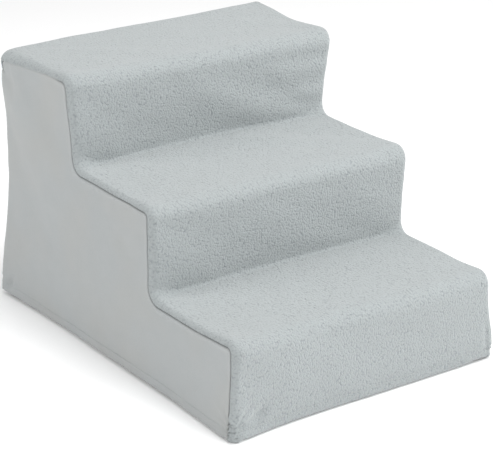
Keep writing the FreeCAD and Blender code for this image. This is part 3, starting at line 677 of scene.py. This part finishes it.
def drape():
    """Settles a coarse cover on the frame under its weight, its hem drawn in by the four straps."""
    rest, out, faces = drape_shell()
    cut = lie(rest, out)
    x, y, z = rest.T
    corner = np.hypot(HALF_WIDTH - np.abs(x), REAR_Y - np.abs(y))
    drawn = STRAP_PULL * bump(np.hypot(corner, z - HEM_Z), 0, PULL_REACH)
    start = cut.copy()
    start[:, 0] -= np.sign(x) * drawn * EACH_WAY
    start[:, 1] -= np.sign(y) * drawn * EACH_WAY
    shell = make_mesh("drape_shell", start, faces)
    shell.shape_key_add(name="start")
    pattern = shell.shape_key_add(name="pattern")
    pattern.data.foreach_set("co", cut.ravel())
    pins = shell.vertex_groups.new(name="strap ends")
    held = np.nonzero(np.hypot(corner, z - HEM_Z) < PIN_REACH)[0]
    pins.add([int(i) for i in held], 1.0, "REPLACE")
    cloth = shell.modifiers.new("cloth", "CLOTH")
    fleece = cloth.settings
    fleece.quality = 7
    fleece.mass = 0.03
    fleece.tension_stiffness = fleece.compression_stiffness = 60
    fleece.shear_stiffness = 25
    fleece.bending_stiffness = 7
    fleece.tension_damping = fleece.compression_damping = 12
    fleece.air_damping = 4
    fleece.vertex_group_mass = pins.name
    fleece.rest_shape_key = pattern
    cloth.collision_settings.distance_min = CLOTH - 0.8 * MM
    cloth.collision_settings.collision_quality = 3
    cloth.collision_settings.use_self_collision = False
    cloth.point_cache.frame_end = DRAPE_FRAMES
    form = frame_form()
    form.modifiers.new("collision", "COLLISION")
    form.collision.thickness_outer = 1 * MM
    form.collision.cloth_friction = 20
    scene = bpy.context.scene
    for step in range(1, DRAPE_FRAMES + 1):
        scene.frame_set(step)
    settled = shell.evaluated_get(bpy.context.evaluated_depsgraph_get()).data
    places = np.empty(len(rest) * 3)
    settled.vertices.foreach_get("co", places)
    moves = places.reshape(-1, 3) - cut
    scene.frame_set(1)
    for made in (shell, form):
        mesh = made.data
        bpy.data.objects.remove(made)
        bpy.data.meshes.remove(mesh)
    return Settling(rest, moves)


def settle(points, out, settling):
    """Final places of points of the cover's rest shape."""
    rest, way = points.reshape(-1, 3), out.reshape(-1, 3)
    placed = lie(rest, way) + settling.at(rest) + way * creases(rest, way)[:, None]
    placed[:, 2] = np.maximum(placed[:, 2], FLOOR_CLEARANCE)
    return placed


# ---------------------------------------------------------------- materials


class Graph:
    """A material's nodes, wired by short calls. Scales are in cells to a metre."""

    def __init__(self, name):
        self.material = bpy.data.materials.new(name)
        self.material.use_nodes = True
        self.tree = self.material.node_tree
        self.shader = self.tree.nodes["Principled BSDF"]
        self.coords = self.tree.nodes.new("ShaderNodeTexCoord").outputs["Object"]

    def node(self, kind, inputs=(), **settings):
        made = self.tree.nodes.new(kind)
        for key, value in settings.items():
            setattr(made, key, value)
        for key, value in dict(inputs).items():
            self.put(value, made.inputs[key])
        return made

    def put(self, value, socket):
        if isinstance(value, bpy.types.NodeSocket):
            self.tree.links.new(value, socket)
        else:
            socket.default_value = value

    def math(self, operation, a, b=0.0):
        return self.node("ShaderNodeMath", {0: a, 1: b}, operation=operation).outputs[0]

    def vector(self, operation, a, b):
        """b is a scale for SCALE, and a vector otherwise."""
        second = "Scale" if operation == "SCALE" else 1
        return self.node("ShaderNodeVectorMath", {0: a, second: b}, operation=operation).outputs[0]

    def noise(self, scale, detail=2.0, roughness=0.5, output=0):
        values = {"Vector": self.coords, "Scale": scale, "Detail": detail, "Roughness": roughness}
        return self.node("ShaderNodeTexNoise", values).outputs[output]

    def cells(self, scale, coords):
        values = {"Vector": coords, "Scale": scale}
        return self.node("ShaderNodeTexVoronoi", values).outputs["Distance"]

    def ribs(self, scale, distortion):
        values = {"Vector": self.coords, "Scale": scale, "Distortion": distortion}
        return self.node("ShaderNodeTexWave", values, bands_direction="DIAGONAL").outputs[1]

    def ramp(self, value, stops):
        made = self.node("ShaderNodeValToRGB", {0: value})
        points = made.color_ramp.elements
        while len(points) < len(stops):
            points.new(0.5)
        for point, (place, colour) in zip(points, stops):
            point.position = place
            point.color = (*colour, 1) if len(colour) == 3 else colour
        return made.outputs[0]

    def mix(self, factor, a, b):
        return self.node("ShaderNodeMix", {0: factor, 6: a, 7: b}, data_type="RGBA").outputs[2]

    def bump(self, height, strength, distance):
        values = {"Height": height, "Strength": strength, "Distance": distance}
        return self.node("ShaderNodeBump", values).outputs[0]

    def finish(self, colour, roughness, normal, **fixed):
        self.put(colour, self.shader.inputs["Base Color"])
        self.put(roughness, self.shader.inputs["Roughness"])
        self.put(normal, self.shader.inputs["Normal"])
        for name, value in fixed.items():
            self.shader.inputs[name.replace("_", " ")].default_value = value
        return self.material


def srgb(r, g, b):
    """A linear colour from 0 to 255 display values."""
    return tuple((v / 255 / 12.92) if v <= 10.3 else ((v / 255 + 0.055) / 1.055) ** 2.4 for v in (r, g, b))


def painted_seam_shade(g, shade, colour):
    """Painted seam shade: the colour darkens where a panel is pressed and turned in at a seam, standing in
    for the shadow in the seam's valley.
    """
    pressed = g.node("ShaderNodeAttribute", attribute_name="pressed").outputs["Fac"]
    amount = g.node("ShaderNodeMapRange", {0: pressed, 1: 0.1, 2: 0.75, 3: 0.0, 4: 1.0}).outputs[0]
    return g.mix(amount, shade, (*colour, 1))


def sherpa_material():
    """Nubby berber fleece: domes of curled pile about 2 mm across, with narrow gaps between them."""
    g = Graph("sherpa_fleece")
    wobble = g.vector("SUBTRACT", g.noise(230.0, 2.0, output="Color"), (0.5, 0.5, 0.5))
    coords = g.vector("ADD", g.coords, g.vector("SCALE", wobble, 0.0016))
    nubs = g.math("MULTIPLY", g.cells(440.0, coords), 1.1)
    domes = g.math("SUBTRACT", 1.0, g.math("MULTIPLY", nubs, nubs))
    curls = g.math("MULTIPLY", g.cells(900.0, coords), 0.28)
    fibre = g.math("MULTIPLY", g.noise(1900.0, 3.0, 0.7), 0.18)
    tall = g.math("ADD", 0.65, g.math("MULTIPLY", g.noise(38.0, 2.0), 0.7))
    height = g.math("MULTIPLY", g.math("ADD", g.math("SUBTRACT", domes, curls), fibre), tall)
    # the lower the pile, the darker the colour: painted shade in the gaps between the nubs
    stops = [(0.0, srgb(138, 144, 146)), (0.4, srgb(151, 156, 157)), (0.9, srgb(154, 160, 161))]
    shade = g.ramp(height, stops)
    shade = g.mix(g.math("MULTIPLY", g.noise(9.0, 2.0), 0.10), shade, (*srgb(151, 153, 151), 1))
    # painted shade along the seams, where the panel turns in
    shade = painted_seam_shade(g, shade, srgb(128, 133, 135))
    normal = g.bump(height, 0.7, 0.001)
    return g.finish(shade, 0.95, normal, Sheen_Weight=0.25, Sheen_Roughness=0.55, Specular_IOR_Level=0.12)


def short_pile_material():
    """The sides' brushed short pile: nearly smooth, with faint strokes and warmer patches."""
    g = Graph("short_pile")
    pile = g.noise(700.0, 4.0, 0.65)
    strokes = g.noise(70.0, 3.0, 0.6)
    height = g.math("ADD", g.math("MULTIPLY", pile, 0.8), g.math("MULTIPLY", strokes, 0.4))
    shade = g.ramp(height, [(0.35, srgb(157, 161, 162)), (0.85, srgb(163, 166, 166))])
    patches = g.ramp(g.noise(13.0, 2.0), [(0.42, (0, 0, 0)), (0.68, (1, 1, 1))])
    warm = g.mix(0.4, shade, (*srgb(162, 162, 159), 1))
    # painted shade along the seams, where the panel turns in
    shade = painted_seam_shade(g, g.mix(patches, shade, warm), srgb(128, 132, 133))
    normal = g.bump(height, 0.4, 0.0008)
    return g.finish(shade, 0.95, normal, Sheen_Weight=0.25, Sheen_Roughness=0.5, Specular_IOR_Level=0.12)


def elastic_material():
    """Woven elastic: faint ribs, crossed by fine weft."""
    g = Graph("woven_elastic")
    ribs = g.ribs(260.0, 0.4)
    weft = g.noise(1400.0, 2.0)
    height = g.math("ADD", g.math("MULTIPLY", ribs, 0.8), g.math("MULTIPLY", weft, 0.3))
    shade = g.ramp(height, [(0.1, srgb(148, 149, 147)), (0.9, srgb(182, 183, 180))])
    return g.finish(shade, 0.8, g.bump(height, 0.5, 0.0004), Specular_IOR_Level=0.3)


def plastic_material():
    """Moulded polypropylene: fine spark texture, faint flow marks and a soft gloss."""
    g = Graph("moulded_plastic")
    texture = g.noise(900.0, 3.0, 0.6)
    flow = g.noise(14.0, 2.0)
    shade = g.ramp(flow, [(0.3, srgb(178, 179, 175)), (0.7, srgb(186, 187, 184))])
    rough = g.math("ADD", 0.38, g.math("MULTIPLY", texture, 0.14))
    normal = g.bump(texture, 0.18, 0.0002)
    return g.finish(shade, rough, normal, IOR=1.49)


def rubber_material():
    g = Graph("foot_rubber")
    grain = g.noise(700.0, 3.0, 0.6)
    shade = g.ramp(grain, [(0.3, srgb(38, 38, 40)), (0.7, srgb(52, 52, 54))])
    return g.finish(shade, 0.75, g.bump(grain, 0.3, 0.0003), Specular_IOR_Level=0.35)


def thread_material():
    """Spun polyester thread: two plies that show as slanted bands."""
    g = Graph("hem_thread")
    plies = g.ribs(900.0, 1.2)
    shade = g.ramp(plies, [(0.2, srgb(150, 155, 156)), (0.8, srgb(172, 176, 176))])
    return g.finish(shade, 0.6, g.bump(plies, 0.5, 0.0002), Specular_IOR_Level=0.3)


# ---------------------------------------------------------------- pieces

THINNEST = 0.25  # cloth at a seam or under a stitch is pressed, at the most to this share
PRESSED_AT_SEAM, PRESSED_AT_STITCH, PRESSED_WIDTH = 0.7, 0.3, 1.3 * MM


def dress(obj, material, nodes=()):
    obj.data.materials.append(material)
    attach(obj, "cover")
    if nodes:
        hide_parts(*nodes)
    return obj


def add_cloth_thickness(obj, panel):
    """Gives a panel its thickness, inwards, and notes for the material's painted seam shade where a seam
    presses it.
    """
    height = panel.points[:, 2] - HEM_Z
    at_stitch = PRESSED_AT_STITCH * bump(height, STITCH_HEIGHT, PRESSED_WIDTH)
    pressed = PRESSED_AT_SEAM * panel.turn / CURL_DEPTH + at_stitch
    # how far the panel turns in at a seam; the materials darken with it as painted seam shade
    attribute = obj.data.attributes.new("pressed", "FLOAT", "POINT")
    attribute.data.foreach_set("value", (panel.turn / CURL_DEPTH).astype(np.float32))
    group = obj.vertex_groups.new(name="thickness")
    for weight in np.unique(np.round(pressed, 2)):
        group.add([int(i) for i in np.nonzero(np.round(pressed, 2) == weight)[0]], 1 - weight, "REPLACE")
    thick = obj.modifiers.new("thickness", "SOLIDIFY")
    thick.thickness, thick.offset = CLOTH, -1
    thick.vertex_group, thick.thickness_vertex_group = group.name, THINNEST
    thick.use_even_offset = False


def make_panel(settling, name, panel, material, slot, node, rests_on):
    """Makes a panel of the cover. Gives its stitch row's places and the way out at each."""
    obj = make_mesh(name, settle(panel.points, panel.out, settling), panel.faces)
    add_cloth_thickness(obj, panel)
    dress(obj, material, [node])
    places = np.array([obj.data.vertices[int(i)].co for i in panel.stitched])
    return places, panel.out[panel.stitched]


def stitch_tube(places, way, out):
    """Points of one stitch, as rings round a short arched thread through places."""
    side = np.cross(way, out)
    rings = []
    for place in places:
        for turn in np.arange(THREAD_SIDES) * 2 * math.pi / THREAD_SIDES:
            rings.append(place + THREAD_RADIUS * (math.cos(turn) * out + math.sin(turn) * side))
    return rings


def make_stitches(rows, material):
    """The hem's stitches: short threads, sunk at their ends, along each panel's stitch row."""
    points, faces = [], []
    stations = np.linspace(-1, 1, 5)
    for places, out in rows:
        gone = np.concatenate([[0], np.cumsum(np.linalg.norm(np.diff(places, axis=0), axis=1))])
        for middle in np.arange(STITCH_PITCH, gone[-1] - STITCH_PITCH / 2, STITCH_PITCH):
            at = middle + stations * STITCH_LENGTH / 2
            line = np.column_stack([np.interp(at, gone, places[:, axis]) for axis in range(3)])
            up = np.array([np.interp(middle, gone, out[:, axis]) for axis in range(3)])
            up /= np.linalg.norm(up)
            way = (line[-1] - line[0]) / np.linalg.norm(line[-1] - line[0])
            line += np.outer(STITCH_PROUD - STITCH_DIVE * stations**4, up)
            first = len(points)
            points += stitch_tube(line, way, up)
            for ring in range(len(stations) - 1):
                start = first + ring * THREAD_SIDES
                for i in range(THREAD_SIDES):
                    a, b = start + i, start + (i + 1) % THREAD_SIDES
                    faces.append((a, b, b + THREAD_SIDES, a + THREAD_SIDES))
            faces.append(tuple(range(first + THREAD_SIDES - 1, first - 1, -1)))
            faces.append(tuple(range(len(points) - THREAD_SIDES, len(points))))
    dress(make_mesh("cover_hem_stitches", points, faces), material)


STRAP_WIDTH, STRAP_WALL = 20 * MM, 1.2 * MM
STRAP_RIBS, STRAP_RIB_HEIGHT = 10, 0.12 * MM
STRAP_SAG, STRAP_CUP = 0.5 * MM, 0.25 * MM  # at mid-length: sag, and rise of the edges
STRAP_TUCK = 4.2 * MM  # how far the straps' ends reach into the hem


def make_strap(name, sign_x, sign_y, settling, material):
    """An elastic band across a corner under the frame, its ends caught in the hem."""
    low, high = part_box(name)
    corner_x, corner_y = max(abs(low.x), abs(high.x)), max(abs(low.y), abs(high.y))
    far = high.x - low.x
    across = np.linspace(0, 1, 2 * STRAP_RIBS + 1)
    reach = far - STRAP_WIDTH * math.sqrt(2) * (1 - across)
    middle = (low.z + high.z) / 2
    start = np.column_stack([0 * reach + HALF_WIDTH - STRAP_TUCK, corner_y - reach, 0 * reach + middle])
    end = np.column_stack([corner_x - reach, 0 * reach + REAR_Y - STRAP_TUCK, 0 * reach + middle])
    signs = np.array([sign_x, sign_y, 1])
    start, end = start * signs, end * signs
    hem_start, hem_end = start.copy(), end.copy()
    hem_start[:, 0], hem_end[:, 1] = sign_x * HALF_WIDTH, sign_y * REAR_Y
    out_start = np.tile((sign_x, 0.0, 0.0), (len(reach), 1))
    out_end = np.tile((0.0, sign_y, 0.0), (len(reach), 1))
    moved_start = settle(hem_start, out_start, settling) - hem_start
    moved_end = settle(hem_end, out_end, settling) - hem_end
    # Each end only follows its hem in or out.
    moved_start[:, 1:] = 0
    moved_end[:, ::2] = 0
    start, end = start + moved_start, end + moved_end
    rows = []
    for t in np.linspace(0, 1, 64):
        row = start + (end - start) * t
        ribs = STRAP_RIB_HEIGHT * np.cos(across * STRAP_RIBS * 2 * math.pi)
        sag = -STRAP_SAG * math.sin(math.pi * t)
        row[:, 2] += sag + ribs + STRAP_CUP * np.cos(2 * math.pi * across) * math.sin(math.pi * t)
        rows.append(row)
    points = np.array(rows)
    index = np.arange(points.shape[0] * points.shape[1]).reshape(points.shape[:2])
    faces = grid_faces(index)
    if sign_x * sign_y > 0:
        faces = [face[::-1] for face in faces]
    band = make_mesh(name.replace("strap", "elastic_strap"), points.reshape(-1, 3), faces)
    thick = band.modifiers.new("thickness", "SOLIDIFY")
    thick.thickness, thick.offset = STRAP_WALL, 0
    dress(band, material, [name])


def make_cover():
    sherpa, short_pile, thread = sherpa_material(), short_pile_material(), thread_material()
    settling = drape()
    treads = ["tread_" + name for name in STEPS]
    pile = (short_pile, "cover_short_pile")
    pieces = [
        ("cover_sherpa_strip", strip_panel(), sherpa, "cover_sherpa", "cover_step_panel", treads),
        ("cover_back_panel", back_panel(), *pile, "cover_back", treads[-1:]),
        ("cover_side_panel_left", side_panel(-1), *pile, "cover_side_left", treads),
        ("cover_side_panel_right", side_panel(1), *pile, "cover_side_right", treads),
    ]
    make_stitches([make_panel(settling, *piece) for piece in pieces], thread)
    elastic = elastic_material()
    for end, sign_y in (("front", -1), ("rear", 1)):
        for side, sign_x in (("left", -1), ("right", 1)):
            make_strap(f"strap_{end}_{side}", sign_x, sign_y, settling, elastic)


# ---------------------------------------------------------------- stage

AZIMUTH, ELEVATION, ROLL = math.radians(-36.14), math.radians(21.46), math.radians(1.08)
DISTANCE, FOCAL_MM = 2.369, 153.3
LOOK_AT = Vector((0, -0.0093, 0.1274))
WORLD_LIGHT = 0.44
LIGHTS = [  # name, place, size in metres and power in watts
    ("softbox_top", (0.3, -0.3, 2.4), 1.8, 31),
    ("softbox_front", (0.1, -1.8, 1.1), 1.1, 19),
    ("softbox_left", (-1.9, 0.4, 1.2), 1.2, 21),
    ("softbox_right", (1.9, -0.9, 1.2), 1.2, 25.5),
    ("softbox_back", (0.8, 3.4, 2.2), 1.2, 9),
]
LIT = Vector((0, 0, 0.15))


def make_camera():
    data = bpy.data.cameras.new("camera")
    data.lens, data.sensor_width, data.sensor_fit = FOCAL_MM, 36, "HORIZONTAL"
    data.clip_end = 50
    camera = bpy.data.objects.new("camera", data)
    bpy.context.scene.collection.objects.link(camera)
    level = math.cos(ELEVATION)
    back = Vector((math.sin(AZIMUTH) * level, -math.cos(AZIMUTH) * level, math.sin(ELEVATION)))
    turn = back.to_track_quat("Z", "Y").to_matrix().to_4x4() @ Matrix.Rotation(ROLL, 4, "Z")
    camera.matrix_world = Matrix.Translation(LOOK_AT + back * DISTANCE) @ turn
    bpy.context.scene.camera = camera


def area_light(name, place, size, power):
    data = bpy.data.lights.new(name, "AREA")
    data.shape, data.size, data.energy = "DISK", size, power
    light = bpy.data.objects.new(name, data)
    aim = (place - LIT).to_track_quat("Z", "Y").to_matrix().to_4x4()
    light.matrix_world = Matrix.Translation(place) @ aim
    bpy.context.scene.collection.objects.link(light)


def make_stage():
    scene = bpy.context.scene
    scene.view_settings.view_transform = "Standard"
    world = bpy.data.worlds.new("studio")
    world.use_nodes = True
    world.node_tree.nodes["Background"].inputs[0].default_value = (1, 1, 1, 1)
    world.node_tree.nodes["Background"].inputs[1].default_value = WORLD_LIGHT
    scene.world = world
    floor = make_mesh("floor", [(-6, -6, 0), (6, -6, 0), (6, 6, 0), (-6, 6, 0)], [(0, 1, 2, 3)])
    g = Graph("floor_paper")
    grain = g.noise(300.0, 2.0)
    g.finish((0.93, 0.93, 0.93, 1), 0.9, g.bump(grain, 0.05, 0.0002))
    floor.data.materials.append(g.material)
    for name, place, size, power in LIGHTS:
        area_light(name, Vector(place), size, power)


def main():
    make_stage()
    make_camera()
    finishes = {"frame_plastic": plastic_material(), "foot_rubber": rubber_material()}
    for subpart in frame["record"]["subparts"]:
        finish = finishes.get(subpart["material_slot"])
        if finish:
            materials = frame["nodes"][subpart["node"]].data.materials
            materials.clear()
            materials.append(finish)
    make_cover()


main()
